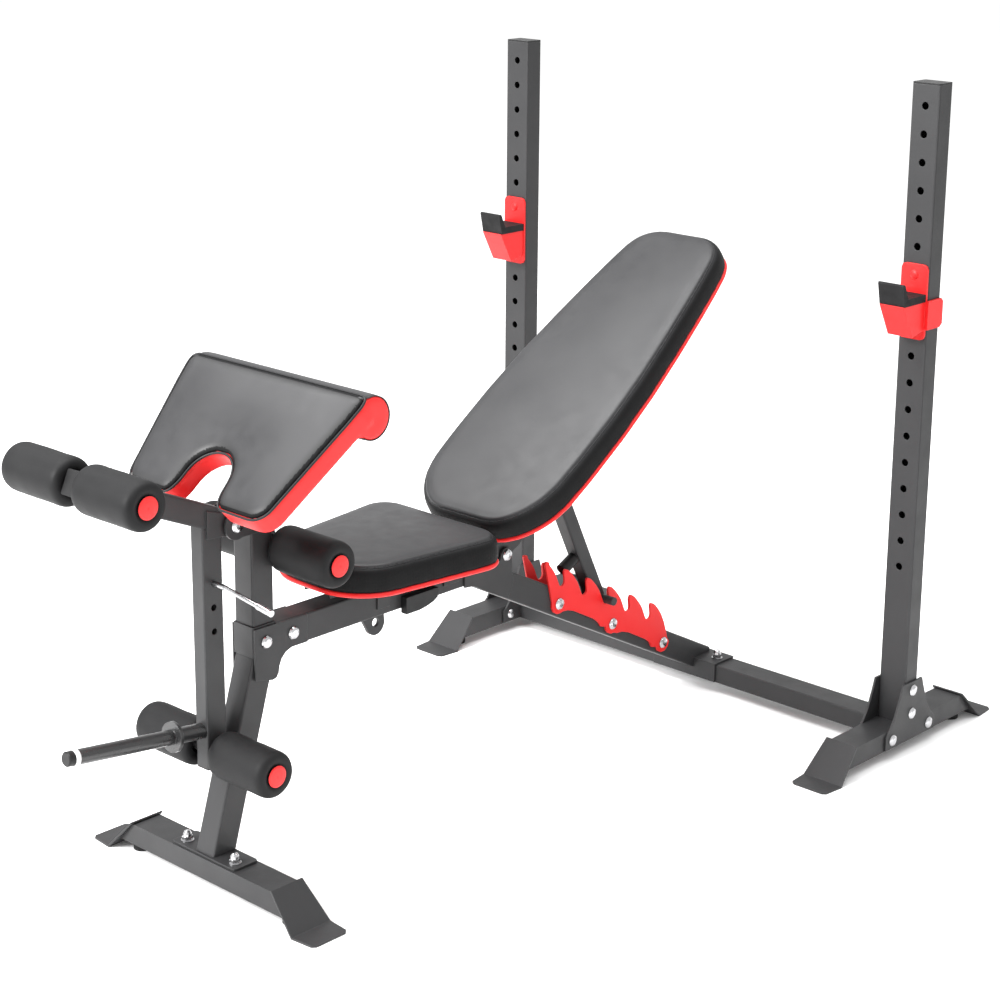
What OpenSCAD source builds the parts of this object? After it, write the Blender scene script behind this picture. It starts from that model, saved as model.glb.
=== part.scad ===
// Olympic bench press: a free-standing rack joined to a padded bench with a backrest that tilts,
// a seat that tilts, a leg lever with foam rollers and an arm-curl pad. Millimetres, +Z up.
// The bench lies along Y: the leg lever is at -Y and the rack is at +Y. The floor is at Z = 0.

/* [Rack] */
// Height of the rack uprights above the floor
rack_height = 1252; // [1100:1:1400]
// Distance between the centre lines of the two uprights
rack_spacing = 969; // [900:1:1050]
// Width of the upright tube, across the bench
upright_w = 57; // [50:1:70]
// Depth of the upright tube, along the bench
upright_d = 40; // [30:1:50]
// Distance from one adjustment hole to the next
hole_pitch = 50; // [40:1:60]
// Number of adjustment holes in each upright
hole_count = 18; // [10:1:20]
// Bore of the adjustment holes
hole_d = 14; // [10:0.5:18]
// Hole that holds the bar hooks, counted from the top, starting at 0
hook_hole = 6; // [2:1:12]

/* [Feet] */
// Height of the foot tubes
foot_h = 37; // [30:1:50]
// Gap between the foot tubes and the floor
foot_gap = 19; // [12:1:30]
// Half length of each foot tube at its top
foot_half = 178; // [150:1:220]
// Width of the bent foot plates at the floor
toe_w = 83; // [70:1:100]

/* [Bench frame] */
// Outer size of the square bench beam
beam = 50; // [40:1:60]
// Wall thickness of all tubes
wall = 2; // [1.5:0.5:3]
// Height of the underside of the seat beam
seat_beam_z = 380; // [340:1:420]
// Slope of the rear beam below the horizontal, degrees
beam_slope = 27.5; // [20:0.5:35]
// Thickness of the steel side plates
plate_t = 4; // [2:0.5:6]

/* [Backrest] */
// Angle of the backrest above the horizontal, degrees
back_angle = 34.6; // [30:0.1:40]
// Length of the backrest cushion
back_len = 757; // [700:1:820]
// Greatest width of the backrest cushion
back_w = 322; // [280:1:340]
// Thickness of the backrest, board and cushion together
back_t = 55; // [40:1:70]

/* [Seat] */
// Length of the seat cushion
seat_len = 330; // [300:1:380]
// Width of the seat at its front end
seat_front_w = 262; // [220:1:300]
// Width of the seat at its rear end
seat_rear_w = 310; // [280:1:340]
// Thickness of the seat, board and cushion together
seat_t = 58; // [40:1:70]

/* [Rollers] */
// Outer diameter of the foam rollers
roller_d = 79; // [70:1:100]
// Diameter of the roller axles
axle_d = 24; // [16:0.5:28]
// Diameter of the end discs on the axles
disc_d = 36; // [30:1:50]

/* [Arm curl pad] */
// Width of the arm-curl pad at its upper edge
curl_top_w = 422; // [380:1:460]
// Width of the arm-curl pad at its lower edge
curl_low_w = 342; // [300:1:380]
// Slope of the arm-curl pad above the horizontal, degrees
curl_angle = 42.5; // [35:0.5:50]

/* [Plate horn] */
// Diameter of the horn that carries weight plates
horn_d = 25; // [22:0.5:30]
// Length of the horn from the lever
horn_len = 270; // [200:1:300]

/* [Hidden] */

steel = [0.24, 0.24, 0.25];
red = [0.85, 0.12, 0.10];
black = [0.06, 0.06, 0.06];
zinc = [0.75, 0.75, 0.76];

fine = 48;            // facets round small parts
bore_clear = 0.05;    // radial clearance of a turning fit
near = 0.3;           // gap between parts that move past one another
rack_y = 636;         // centre line of the rack
stand_y = -628.5;     // centre line of the front foot
foot_top = foot_gap + foot_h;
toe_t = 3;            // thickness of the bent foot plates
corner_r = 3;         // outer corner radius of the tubes

module rrect(w, d, r) {
  polygon([for (q = [0:3]) for (k = [0:2])
    let (sx = (q == 0 || q == 3) ? 1 : -1, sy = q < 2 ? 1 : -1, a = q * 90 + k * 45)
    [sx * (w / 2 - r) + r * cos(a), sy * (d / 2 - r) + r * sin(a)]]);
}
// closed-wall tube, along Z from the origin
module tube(w, d, len, t = wall) {
  difference() {
    linear_extrude(len) rrect(w, d, corner_r);
    translate([0, 0, -1]) linear_extrude(len + 2) rrect(w - 2 * t, d - 2 * t, 1);
  }
}
// plate in the Y-Z plane from x0 to x0 + t
module yz(x0, t) {
  translate([x0, 0, 0]) rotate([90, 0, 90]) linear_extrude(t) children();
}
// rod along X
module xrod(r, x0, x1, y, z) {
  translate([x0, y, z]) rotate([0, 90, 0]) cylinder(r = r, h = x1 - x0, $fn = fine);
}
// rod along Y
module yrod(r, y0, y1, x, z) {
  translate([x, y0, z]) rotate([-90, 0, 0]) cylinder(r = r, h = y1 - y0, $fn = fine);
}
module both() {
  children();
  mirror([1, 0, 0]) children();
}
// smooth cap of a bolt: a shallow dome on the X = 0 plane, pointing along +X
module dome(r, h) {
  rotate([0, 90, 0]) rotate_extrude($fn = 24)
    polygon([[0, 0], [r, 0], [r, h * 0.3], [r * 0.86, h * 0.65], [r * 0.5, h * 0.92], [0, h]]);
}

// ---------------------------------------------------------------- rack and feet
up_x = rack_spacing / 2;
in_x = up_x - upright_w / 2;
out_x = up_x + upright_w / 2;
toe_slope = 58 / 55.7;                 // rise over run of the sloping foot plate
toe_top = foot_top + 5;
toe_run = (toe_top - toe_t) / toe_slope;
toe_flat = 47;
// where the underside of the sloping foot plate is at height z
function toe_under(z) = foot_half - 2.03 + (toe_top - 2.5 - z) * (toe_run + 0.7) / (toe_top - 2.5);
foot_low = toe_under(foot_gap);

module foot_tube() {
  top_half = toe_under(foot_top);
  difference() {
    yz(-upright_w / 2, upright_w)
      polygon([[-foot_low, foot_gap], [foot_low, foot_gap], [top_half, foot_top], [-top_half, foot_top]]);
    translate([-upright_w / 2 + wall, -foot_low - 1, foot_gap + wall])
      cube([upright_w - 2 * wall, 2 * foot_low + 2, foot_h - 2 * wall]);
  }
}
module toe_plate() {
  tw = toe_w / 2;
  intersection() {
    yz(-tw, toe_w) polygon([
      [foot_half, toe_top], [foot_half - 2, toe_top - 2.5],
      [foot_half + toe_run - 1.3, 0], [foot_half + toe_run + toe_flat, 0],
      [foot_half + toe_run + toe_flat, toe_t], [foot_half + toe_run + 0.6, toe_t]]);
    translate([0, 0, -1]) linear_extrude(toe_top + 2) polygon([
      [-33, foot_half - 3], [33, foot_half - 3], [tw, foot_half + toe_run],
      [37.6, foot_half + toe_run + toe_flat - 6], [31, foot_half + toe_run + toe_flat],
      [-31, foot_half + toe_run + toe_flat], [-37.6, foot_half + toe_run + toe_flat - 6],
      [-tw, foot_half + toe_run]]);
  }
}
module floor_pad() {
  difference() {
    cylinder(r = 16, h = foot_gap, $fn = fine);
    translate([0, 0, -1]) cylinder(r = 5, h = 4, $fn = fine);
  }
}
pad_at = 190;

module at_feet() {
  for (s = [-1, 1]) {
    translate([s * up_x, rack_y, 0]) children();
    translate([s * up_x, rack_y, 0]) rotate([0, 0, 180]) children();
  }
  translate([0, stand_y, 0]) rotate([0, 0, 90]) children();
  translate([0, stand_y, 0]) rotate([0, 0, -90]) children();
}
module foot_plates() {
  color(steel) at_feet() toe_plate();
}
module floor_pads() {
  color(black) at_feet() translate([0, pad_at, 0]) floor_pad();
}

bolt_r = 5;
head_r = 11;
rack_bolt_at = [[0, 120], [0, 74], [-60, foot_gap + foot_h / 2], [60, foot_gap + foot_h / 2]];

module rack_bolt_holes(r) {
  for (s = [-1, 1]) for (p = rack_bolt_at)
    xrod(r, s * up_x - upright_w, s * up_x + upright_w, rack_y + p[0], p[1]);
}
module foot_side(s) {
  color(steel) difference() {
    translate([s * up_x, rack_y, 0]) foot_tube();
    rack_bolt_holes(bolt_r + near);
  }
}
module foot_tube_left() {
  foot_side(-1);
}
module foot_tube_right() {
  foot_side(1);
}
module front_foot_tube() {
  color(steel) difference() {
    translate([0, stand_y, 0]) rotate([0, 0, 90]) foot_tube();
    base_bolt_holes(bolt_r + near);
  }
}
module crossbar() {
  color(steel) difference() {
    translate([-in_x + plate_t, rack_y, foot_gap + foot_h / 2]) rotate([0, 90, 0])
      tube(foot_h, 58, 2 * (in_x - plate_t));
    for (s = [-1, 1]) translate([s * saddle_bolt_x, saddle_bolt_y, 0])
      cylinder(r = bolt_r + near, h = 100, $fn = fine);
  }
}

hole_first = rack_height - 40.5;
hook_z = hole_first - hook_hole * hole_pitch;

module upright(s) {
  color(steel) difference() {
    translate([s * up_x, rack_y, foot_top]) tube(upright_w, upright_d, rack_height - foot_top - 3);
    for (i = [0:hole_count - 1])
      yrod(hole_d / 2, rack_y - upright_d, rack_y + upright_d, s * up_x, hole_first - i * hole_pitch);
    rack_bolt_holes(bolt_r + near);
  }
}
module upright_left() {
  upright(-1);
}
module upright_right() {
  upright(1);
}
module upright_caps() {
  color(black) for (s = [-1, 1]) translate([s * up_x, rack_y, 0]) {
    translate([0, 0, rack_height - 3]) linear_extrude(3) rrect(upright_w, upright_d, corner_r);
    translate([0, 0, rack_height - 18]) linear_extrude(15)
      rrect(upright_w - 2 * wall - 0.6, upright_d - 2 * wall - 0.6, 1);
  }
}

gusset_half = [[-31, 137], [-36, 122], [-43, 104], [-54, 78], [-68, 58], [-81, 46], [-81, 21]];
module gusset_shape() {
  n = len(gusset_half) - 1;
  polygon(concat([for (p = gusset_half) p], [for (k = [n:-1:0]) [-gusset_half[k][0], gusset_half[k][1]]]));
}
module gusset(x0) {
  color(steel) difference() {
    translate([0, rack_y, 0]) yz(x0, plate_t) gusset_shape();
    rack_bolt_holes(bolt_r + near);
  }
}
module gussets() {
  both() {
    gusset(out_x);
    gusset(in_x - plate_t);
  }
}
module rack_bolts() {
  color(zinc) for (s = [0, 1]) mirror([s, 0, 0]) for (p = rack_bolt_at) {
    translate([out_x + plate_t, rack_y + p[0], p[1]]) dome(head_r, 6);
    xrod(bolt_r, in_x - plate_t, out_x + plate_t, rack_y + p[0], p[1]);
    translate([in_x - plate_t, rack_y + p[0], p[1]]) mirror([1, 0, 0]) dome(10, 6);
  }
}

// ---------------------------------------------------------------- sloping beam
// frame of the sloping beam: local y runs down the beam, local z stands square to it
beam_o = [0, 161.7, 296.9];
bend_y = -46;
module on_beam() {
  translate(beam_o) rotate([-beam_slope, 0, 0]) children();
}
saddle_bolt_x = 60;
saddle_bolt_y = rack_y - 2;
saddle_t = 4;
saddle_w = 156;
ladder_bolt_a = [28, 203, 378];

module ladder_bolt_holes(r) {
  on_beam() for (a = ladder_bolt_a) xrod(r, -beam, beam, a, 0);
}
module main_beam() {
  color(steel) difference() {
    on_beam() translate([0, -330, 0]) rotate([-90, 0, 0]) tube(beam, beam, 920);
    translate([-beam, bend_y - 500, 0]) cube([2 * beam, 500, 800]);
    translate([-beam, rack_y - 29 - saddle_t, -200]) cube([2 * beam, 200, 200 + foot_top + saddle_t]);
    translate([-beam, rack_y + 18, -200]) cube([2 * beam, 300, 800]);
    ladder_bolt_holes(bolt_r + near);
  }
}
module beam_saddle() {
  difference() {
    union() {
      translate([-saddle_w / 2, rack_y - 29 - saddle_t, foot_top])
        cube([saddle_w, 58 + saddle_t, saddle_t]);
      translate([-saddle_w / 2, rack_y - 29 - saddle_t, foot_gap + 2])
        cube([saddle_w, saddle_t, foot_h]);
    }
    for (s = [-1, 1]) translate([s * saddle_bolt_x, saddle_bolt_y, 0])
      cylinder(r = bolt_r + near, h = 100, $fn = fine);
  }
}
module post_base() {
  difference() {
    translate([0, base_y, foot_top]) linear_extrude(base_t) rrect(158, 52, 6);
    base_bolt_holes(bolt_r + near);
  }
}
module base_plates() {
  color(steel) {
    beam_saddle();
    post_base();
  }
}
// hexagon nut with a domed cap, standing on Z = 0
module acorn() {
  cylinder(r = 11, h = 1.5, $fn = 24);
  translate([0, 0, 1.5]) cylinder(r = 9.2, h = 7, $fn = 6);
  translate([0, 0, 8.5]) rotate_extrude($fn = 24)
    polygon([[0, 0], [7.5, 0], [7.2, 4], [5.5, 7.5], [3, 9.3], [0, 10]]);
}
module base_nut(y) {
  for (s = [-1, 1]) translate([s * saddle_bolt_x, y, 0]) {
    translate([0, 0, foot_top + base_t]) acorn();
    translate([0, 0, foot_gap]) cylinder(r = bolt_r, h = foot_h + base_t, $fn = fine);
    translate([0, 0, foot_gap - 6]) cylinder(r = 10, h = 6, $fn = 24);
  }
}
module base_nuts() {
  color(zinc) {
    base_nut(saddle_bolt_y);
    base_nut(base_y - 8);
  }
}

back_o = [0, -78, 427];                // start of the backrest's rear face
back_c = cos(back_angle);
back_s = sin(back_angle);
pivot_y = 42;                          // backrest hinge, close above the bend in the beam
pivot_z = 415;
pivot_r = 8;

module bend_plate() {
  difference() {
    union() {
      yz(beam / 2, plate_t) polygon([
        [-66, seat_beam_z + 40], [-66, seat_beam_z - 1], [-44, seat_beam_z - 3], [-24, seat_beam_z - 14],
        [-4, 355], [20, 343], [47, 331], [62, 362], [pivot_y + 14, 378], [pivot_y + 14, pivot_z],
        [pivot_y - 14, pivot_z], [pivot_y - 18, 408], [-16, 416], [-46, seat_beam_z + 46]]);
      xrod(14, beam / 2, beam / 2 + plate_t, pivot_y, pivot_z);
    }
    xrod(pivot_r + bore_clear, 0, beam, pivot_y, pivot_z);
  }
}
module bend_plates() {
  color(steel) both() bend_plate();
}

// toothed ladder: notch centres, all in the beam frame
notch_a = 14.7;
notch_pitch = 72;
notch_b = 39.4;
notch_r = 8.4;
notch_n = 5;
lobe_r = 20;
// one hooked tooth, from the bottom of its notch round to the ramp into the next notch
hook_curve = [[13.1, 56.5], [11.5, 60.5], [12.5, 63.3], [15.6, 64.5], [22, 64.4], [29, 62.8], [37, 60],
  [44.7, 57], [52, 53.7], [58.8, 50.2], [64.8, 45.9], [70.6, 41.4]];
function tooth(i) = let (a0 = notch_a + i * notch_pitch)
  concat(
    [for (k = [0:6]) [a0 - notch_r * cos(50 + k * 27.4), notch_b - notch_r * sin(50 + k * 27.4)]],
    [for (p = hook_curve) if (i < notch_n - 1 || p[0] < 32) [p[0] + i * notch_pitch, p[1]]]);
module ladder_shape() {
  polygon(concat(
    [[-47.5, 59], [-47.5, 62.5], [-44, 64.6], [-39, 64.4]],
    [for (p = hook_curve) if (p[0] > 36) [p[0] - notch_pitch, p[1]]],
    [for (i = [0:notch_n - 1]) for (p = tooth(i)) p],
    [[332, 57], [345, 50], [360, 39], [375, 25], [388, 11]],
    [for (k = [0:5]) [ladder_bolt_a[2] + lobe_r * cos(20 - k * 32), lobe_r * sin(20 - k * 32)]],
    [[348, -16], [338, -9], [322, -6], [262, -5], [240, -8], [226, -14]],
    [for (k = [0:4]) [ladder_bolt_a[1] + lobe_r * cos(-50 - k * 25), lobe_r * sin(-50 - k * 25)]],
    [[172, -13], [160, -7], [144, -4], [76, -3], [58, -6], [46, -11]],
    [for (k = [0:4]) [ladder_bolt_a[0] + lobe_r * cos(-50 - k * 30), lobe_r * sin(-50 - k * 30)]]));
}
module ladder_plates() {
  color(red) difference() {
    both() on_beam() yz(beam / 2, plate_t) ladder_shape();
    ladder_bolt_holes(bolt_r + near);
  }
}
module side_bolt(x, y, z) {
  for (s = [0, 1]) mirror([s, 0, 0]) translate([x, y, z]) dome(head_r, 6);
  xrod(bolt_r, -x, x, y, z);
}
// ---------------------------------------------------------------- seat beam and front stand
socket_y = -530.7;
socket_w = 50;
socket_top = 434;
socket_bot = 381;
seat_top = seat_beam_z + beam;
front_bolt_at = [[socket_y, 405], [-472, 405]];

module seat_beam() {
  start = socket_y + socket_w / 2;
  color(steel) difference() {
    translate([0, start, seat_beam_z + beam / 2]) rotate([-90, 0, 0]) tube(beam, beam, bend_y - start);
    xrod(bolt_r + near, -beam, beam, front_bolt_at[1][0], front_bolt_at[1][1]);
  }
}
module socket() {
  color(steel) difference() {
    translate([0, socket_y, socket_bot]) tube(socket_w, socket_w, socket_top - socket_bot);
    xrod(bolt_r + near, -beam, beam, front_bolt_at[0][0], front_bolt_at[0][1]);
  }
}
module front_plates() {
  color(steel) both() difference() {
    yz(beam / 2, 3) polygon([
      [-555, 431], [-555, 343], [-518, 335], [-510, 337], [-505, 344], [-503, 356], [-498, 367],
      [-489, 376], [-476, 381], [-440, 381], [-440, 429], [-505.7, 430.5]]);
    for (p = front_bolt_at) xrod(bolt_r + near, 0, beam, p[0], p[1]);
  }
}
module beam_bolts() {
  color(zinc) {
    on_beam() for (a = ladder_bolt_a) side_bolt(beam / 2 + plate_t, a, 0);
    side_bolt(beam / 2 + 3, front_bolt_at[1][0], front_bolt_at[1][1]);
    for (s = [0, 1]) mirror([s, 0, 0]) {
      translate([beam / 2 + 3, front_bolt_at[0][0], front_bolt_at[0][1]]) dome(head_r, 6);
      xrod(bolt_r, socket_w / 2 - wall, beam / 2 + 3, front_bolt_at[0][0], front_bolt_at[0][1]);
    }
  }
}
base_t = 4;
post_w = 45;
lean = atan(95 / 321);
lean_d = 47;
base_y = stand_y + 1;
module base_bolt_holes(r) {
  for (s = [-1, 1]) translate([s * saddle_bolt_x, base_y - 8, 0]) cylinder(r = r, h = 100, $fn = fine);
}
module front_post() {
  front_low = -649;
  color(steel) difference() {
    translate([0, front_low + lean_d / 2 / cos(lean), foot_top + base_t]) rotate([-lean, 0, 0])
      translate([0, 0, -40]) tube(post_w, lean_d, 460);
    translate([-100, -800, -100]) cube([200, 400, 100 + foot_top + base_t]);
    translate([-100, -800, socket_bot]) cube([200, 400, 200]);
    translate([-100, socket_y + socket_w / 2, seat_beam_z]) cube([200, 200, 100]);
  }
}
eye_y = -261;
eye_z = 358;
eye_r = 21;
eye_hole = 8;
eye_t = 6.6;
module band_eye() {
  color(steel) difference() {
    union() {
      xrod(eye_r, -eye_t / 2, eye_t / 2, eye_y, eye_z);
      yz(-eye_t / 2, eye_t) polygon([
        [eye_y - 36, seat_beam_z], [eye_y - 17, eye_z - 12], [eye_y, eye_z], [eye_y + eye_r, eye_z],
        [eye_y + eye_r - 2, seat_beam_z]]);
    }
    xrod(eye_hole, -eye_t, eye_t, eye_y, eye_z + 2);
  }
}

// ---------------------------------------------------------------- seat
seat_y0 = -414;
seat_y1 = seat_y0 + seat_len;
seat_z = 459;
board_t = 9;
seat_pin_y = -99;
seat_pin_z = 445;
flange_x = 29.3;
module seat_pin_hole(r) {
  xrod(r, -beam, beam, seat_pin_y, seat_pin_z);
}
// rounded, tapering outline of the seat; shrunk all round by e
module seat_outline(e) {
  r0 = 98 - e;
  r1 = 50 - e;
  hw0 = seat_front_w / 2 - e;
  hw1 = seat_rear_w / 2 - e;
  polygon(concat(
    [for (k = [0:6]) [hw1 - r1 + r1 * cos(k * 15), seat_y1 - e - r1 + r1 * sin(k * 15)]],
    [for (k = [0:6]) [-hw1 + r1 - r1 * sin(k * 15), seat_y1 - e - r1 + r1 * cos(k * 15)]],
    [for (k = [0:8]) [-hw0 + r0 - r0 * cos(k * 11.25), seat_y0 + e + r0 - r0 * sin(k * 11.25)]],
    [for (k = [0:8]) [hw0 - r0 + r0 * sin(k * 11.25), seat_y0 + e + r0 - r0 * cos(k * 11.25)]]));
}
module seat_board() {
  color(red) translate([0, 0, seat_z]) linear_extrude(board_t) seat_outline(0);
}
module seat_cushion() {
  color(black) {
    translate([0, 0, seat_z + board_t]) linear_extrude(seat_t - board_t - 9) seat_outline(0.5);
    translate([0, 0, seat_z + seat_t - 9]) linear_extrude(6) seat_outline(3);
    translate([0, 0, seat_z + seat_t - 3]) linear_extrude(3) seat_outline(8);
  }
}
module seat_frame() {
  color(steel) difference() {
    union() {
      translate([-flange_x - 3, -392, seat_z - 3]) cube([2 * flange_x + 6, 306, 3]);
      both() yz(flange_x, 3) polygon([
        [-392, seat_z - 3], [-392, seat_z - 14], [-130, seat_top + 4], [-112, seat_top + 3],
        [-89, seat_top + 3], [-86, seat_top + 10], [-86, seat_z - 3]]);
      for (y = [-360, -150]) translate([-105, y, seat_z - 3]) cube([210, 30, 3]);
    }
    seat_pin_hole(bolt_r + bore_clear);
  }
}
// ears welded to the seat beam; the seat hinges on the pin through them
module seat_rest() {
  color(steel) {
    difference() {
      both() yz(beam / 2, 3) polygon([
        [-118, 395], [-80, 395], [-84, seat_pin_z], [-90, seat_pin_z + 8], [-108, seat_pin_z + 8],
        [-114, seat_pin_z]]);
      seat_pin_hole(bolt_r + bore_clear);
    }
    both() yz(beam / 2, 3) polygon([[-279, 394], [-250, 394], [-250, 441], [-279, 441]]);
    translate([-beam / 2, -279, seat_top]) cube([beam, 3, seat_z - 3.1 - seat_top]);
  }
}
// pins of the seat hinge and of the backrest hinge, both held in the frame
module hinge_pins() {
  color(zinc) {
    xrod(bolt_r, -flange_x - 3 - near, flange_x + 3 + near, seat_pin_y, seat_pin_z);
    xrod(pivot_r, -beam / 2 - plate_t, beam / 2 + plate_t, pivot_y, pivot_z);
    for (s = [0, 1]) mirror([s, 0, 0]) {
      translate([flange_x + 3 + near, seat_pin_y, seat_pin_z]) dome(9, 5);
      translate([beam / 2 + plate_t, pivot_y, pivot_z]) dome(11, 6);
    }
  }
}
module seat_guide() {
  color(black) yz(beam / 2, 14) polygon([
    [-221, 403], [-221, 373], [-190, 373], [-172, 375.5], [-156, 380], [-145, 386], [-143, 392], [-143, 403]]);
}

// ---------------------------------------------------------------- backrest
module on_back() {
  translate(back_o) rotate([back_angle, 0, 0]) children();
}
back_s0 = 60;
// half widths of the backrest at fractions of its length
back_profile = [
  [0, 0.36], [0.008, 0.52], [0.03, 0.68], [0.062, 0.82], [0.10, 0.92], [0.15, 0.98], [0.24, 1.0],
  [0.38, 1.0], [0.52, 0.965], [0.66, 0.895], [0.78, 0.82], [0.87, 0.755], [0.93, 0.70], [0.965, 0.62],
  [0.988, 0.49], [1.0, 0.34]];
module back_outline(e) {
  n = len(back_profile) - 1;
  function pt(k, s) = let (p = back_profile[k])
    [s * (p[1] * back_w / 2 - e), back_s0 + e + p[0] * (back_len - 2 * e)];
  polygon(concat([for (k = [0:n]) pt(k, 1)], [for (k = [n:-1:0]) pt(k, -1)]));
}
module back_board() {
  color(red) on_back() linear_extrude(board_t) back_outline(0);
}
module back_cushion() {
  color(black) on_back() {
    translate([0, 0, board_t]) linear_extrude(back_t - board_t - 9) back_outline(0.5);
    translate([0, 0, back_t - 9]) linear_extrude(6) back_outline(3);
    translate([0, 0, back_t - 3]) linear_extrude(3) back_outline(8);
  }
}
spine_t = 30;
spine_gap = 4;
strut_pivot_s = 278.7;
strut_pivot_n = -50;
strut_w = 30;
ear_t = 4;
spine_s0 = 84;
module back_spine() {
  color(steel) on_back() difference() {
    union() {
      translate([0, spine_s0, -spine_gap - spine_t / 2]) rotate([-90, 0, 0])
        tube(36, spine_t, 650);
      both() xrod(14, strut_w / 2 + near, strut_w / 2 + near + ear_t, strut_pivot_s, strut_pivot_n);
      both() yz(strut_w / 2 + near, ear_t) polygon([
        [strut_pivot_s - 30, -spine_gap - spine_t], [strut_pivot_s - 12, strut_pivot_n - 6],
        [strut_pivot_s + 12, strut_pivot_n - 6], [strut_pivot_s + 30, -spine_gap - spine_t]]);
    }
    xrod(6 + bore_clear, -beam, beam, strut_pivot_s, strut_pivot_n);
  }
}
// side arms that carry the spine on the hinge, with the hinge sleeve between them
module back_arms() {
  color(steel) difference() {
    union() {
      both() yz(18, plate_t) polygon([
        [pivot_y - 15, pivot_z + 2], [pivot_y - 13, pivot_z - 8], [pivot_y - 4, pivot_z - 15],
        [pivot_y + 6, pivot_z - 14], [pivot_y + 22, pivot_z], [84, 424], [100, 442], [106, 466],
        [84, 512], [22, 470], [14, 456]]);
      xrod(14, -22, 22, pivot_y, pivot_z);
    }
    xrod(pivot_r + bore_clear, -beam, beam, pivot_y, pivot_z);
    on_back() translate([-beam, -200, -spine_gap]) cube([2 * beam, 900, 200]);
  }
}
module back_bars() {
  color(steel) on_back() for (s = [200, 430, 640])
    translate([-100, s, -spine_gap]) cube([200, 40, spine_gap]);
}
// strut between the backrest and the ladder
strut_py = back_o[1] + strut_pivot_s * back_c - strut_pivot_n * back_s;
strut_pz = back_o[2] + strut_pivot_s * back_s + strut_pivot_n * back_c;
bar_a = notch_a + 2 * notch_pitch;
bar_b = notch_b - 0.1;
bar_y = beam_o[1] + bar_a * cos(beam_slope) + bar_b * sin(beam_slope);
bar_z = beam_o[2] - bar_a * sin(beam_slope) + bar_b * cos(beam_slope);
bar_r = 8;
strut_len = norm([strut_py - bar_y, strut_pz - bar_z]);
strut_tilt = atan((bar_y - strut_py) / (strut_pz - bar_z));
module on_strut() {
  translate([0, bar_y, bar_z]) rotate([strut_tilt, 0, 0]) children();
}
module strut() {
  color(steel) on_strut() difference() {
    union() {
      tube(strut_w, strut_w, strut_len);
      xrod(12.5, -strut_w / 2, strut_w / 2, 0, 0);
      xrod(15, -strut_w / 2, strut_w / 2, 0, strut_len);
    }
    xrod(bar_r + 0.02, -beam, beam, 0, 0);
    xrod(6 + bore_clear, -beam, beam, 0, strut_len);
  }
}
module strut_bar() {
  color(steel) xrod(bar_r, -50, 50, bar_y, bar_z);
}
// the grip stands square to the strut, this far up from the bar
grip_at = 109;
grip_r = 12;
grip_len = 38;
module strut_grip() {
  color(black) on_strut() yrod(grip_r, -strut_w / 2 - grip_len, -strut_w / 2, 0, grip_at);
}
module strut_pin() {
  head_x = strut_w / 2 + near + ear_t;
  color(zinc) {
    xrod(6, -head_x, head_x, strut_py, strut_pz);
    for (s = [0, 1]) mirror([s, 0, 0]) translate([head_x, strut_py, strut_pz]) dome(10, 5);
  }
}

// ---------------------------------------------------------------- leg post, arm-curl pad
post_top = 650;
lever_y = -585;
lever_z = 616;
lever_r = 6;
knee_y = -491;
knee_z = 557.5;
clevis_t = 4;
module leg_post() {
  half = post_w / 2;
  color(steel) difference() {
    union() {
      translate([0, socket_y, socket_bot + near]) tube(post_w, post_w, post_top - socket_bot - near);
      both() yz(half, clevis_t) polygon([
        [lever_y - 8, lever_z - 22], [socket_y + 16, lever_z - 22], [socket_y + 16, lever_z + 22],
        [lever_y, lever_z + 24], [lever_y - 12, lever_z + 20]]);
      both() xrod(24, half, half + clevis_t, lever_y, lever_z);
      both() yz(8, 5) polygon([
        [socket_y + half, knee_z - 26], [knee_y + 6, knee_z - 17], [knee_y + 6, knee_z + 17],
        [socket_y + half, knee_z + 26]]);
      both() xrod(18, 8, 13, knee_y, knee_z);
    }
    xrod(lever_r + 0.02, -beam, beam, lever_y, lever_z);
    xrod(axle_d / 2 + 0.02, -beam, beam, knee_y, knee_z);
  }
}
curl_o = [0, -649, 672.5];             // lower end of the arm-curl pad's black face
module on_curl() {
  translate(curl_o) rotate([curl_angle, 0, 0]) children();
}
curl_t = 38;
curl_len = 236;
arch_w = 98;
arch_top = 84;
roll_r = 35;
curl_c = cos(curl_angle);
curl_sn = sin(curl_angle);
stem_w = 38;
// outline of the arm-curl pad with the arch cut from its lower edge
module curl_outline(e) {
  lw = curl_low_w / 2 - e;
  tw = curl_top_w / 2 - e;
  aw = arch_w / 2 + e;
  right = concat(
    [for (k = [0:6]) [aw * sin(k * 15), arch_top - arch_w / 2 + aw * cos(k * 15)]],
    [[aw + 1, 18], [aw + 8, -2 + e], [aw + 16, -9 + e]],
    [for (k = [0:5]) [lw - 34 + 34 * sin(k * 18), -10 + e + 34 - 34 * cos(k * 18)]],
    [[tw - 1, curl_len - 14], [tw - 5, curl_len - 4], [tw - 14, curl_len - e]]);
  n = len(right) - 1;
  polygon(concat(right, [for (k = [n:-1:1]) [-right[k][0], right[k][1]]]));
}
module curl_board() {
  color(red) difference() {
    union() {
      on_curl() translate([0, 0, -curl_t]) linear_extrude(curl_t) curl_outline(0);
      on_curl() xrod(roll_r, -curl_top_w / 2 + 4, curl_top_w / 2 - 4, curl_len - 6, -roll_r - 2);
    }
  }
}
module curl_cushion() {
  color(black) on_curl() {
    linear_extrude(4) curl_outline(0.5);
    translate([0, 0, 4]) linear_extrude(3) curl_outline(4);
    translate([0, 0, 7]) linear_extrude(2) curl_outline(10);
  }
}
module curl_stem() {
  color(steel) {
    difference() {
      translate([0, socket_y, 560]) tube(stem_w, stem_w, 260);
      on_curl() translate([-100, -200, -curl_t - 4]) cube([200, 600, 300]);
    }
    on_curl() translate([-70, 90, -curl_t - 4]) cube([140, 84, 4]);
  }
}

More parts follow.
